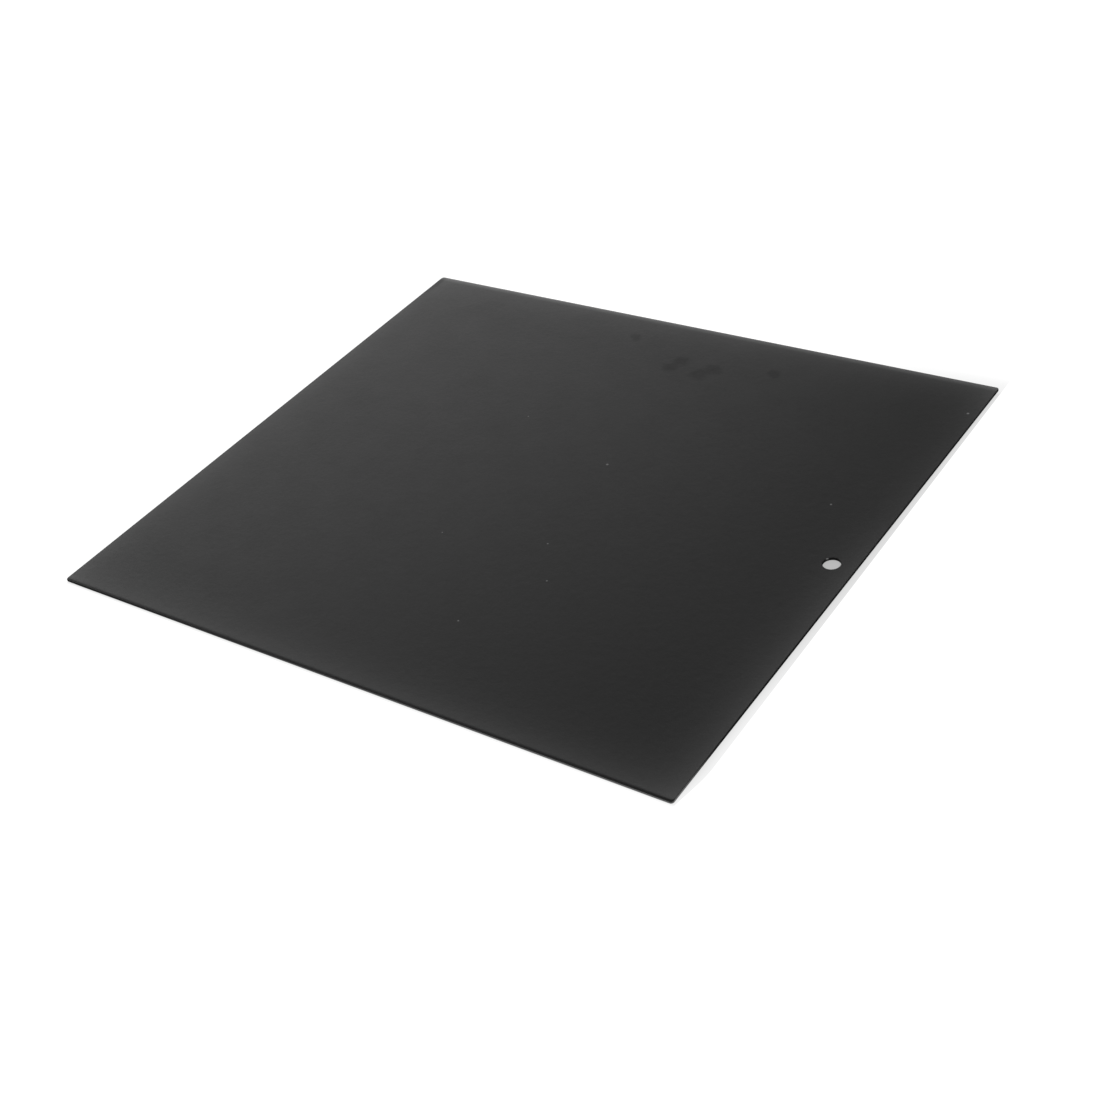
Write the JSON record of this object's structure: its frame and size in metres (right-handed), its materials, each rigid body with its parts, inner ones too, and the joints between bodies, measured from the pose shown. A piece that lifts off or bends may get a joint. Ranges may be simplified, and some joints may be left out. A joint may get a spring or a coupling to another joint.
{
  "type": "kick plate",
  "caption": "Flat rectangular sheet-metal kick plate in satin black powder coat, with a round fixing hole midway along a short side.",
  "frame": {"origin": "centre of the back face, which lies flat on the surface it is fixed to", "axes": "+X along the longer side towards the fixing hole, +Y along the shorter side, +Z out of the front face"},
  "size_m": [0.36, 0.32, 0.0015],
  "materials": {
    "powder_coat": "satin black powder coat"
  },
  "bodies": {
    "root": {"kick_plate": "powder_coat"}
  },
  "joints": []
}
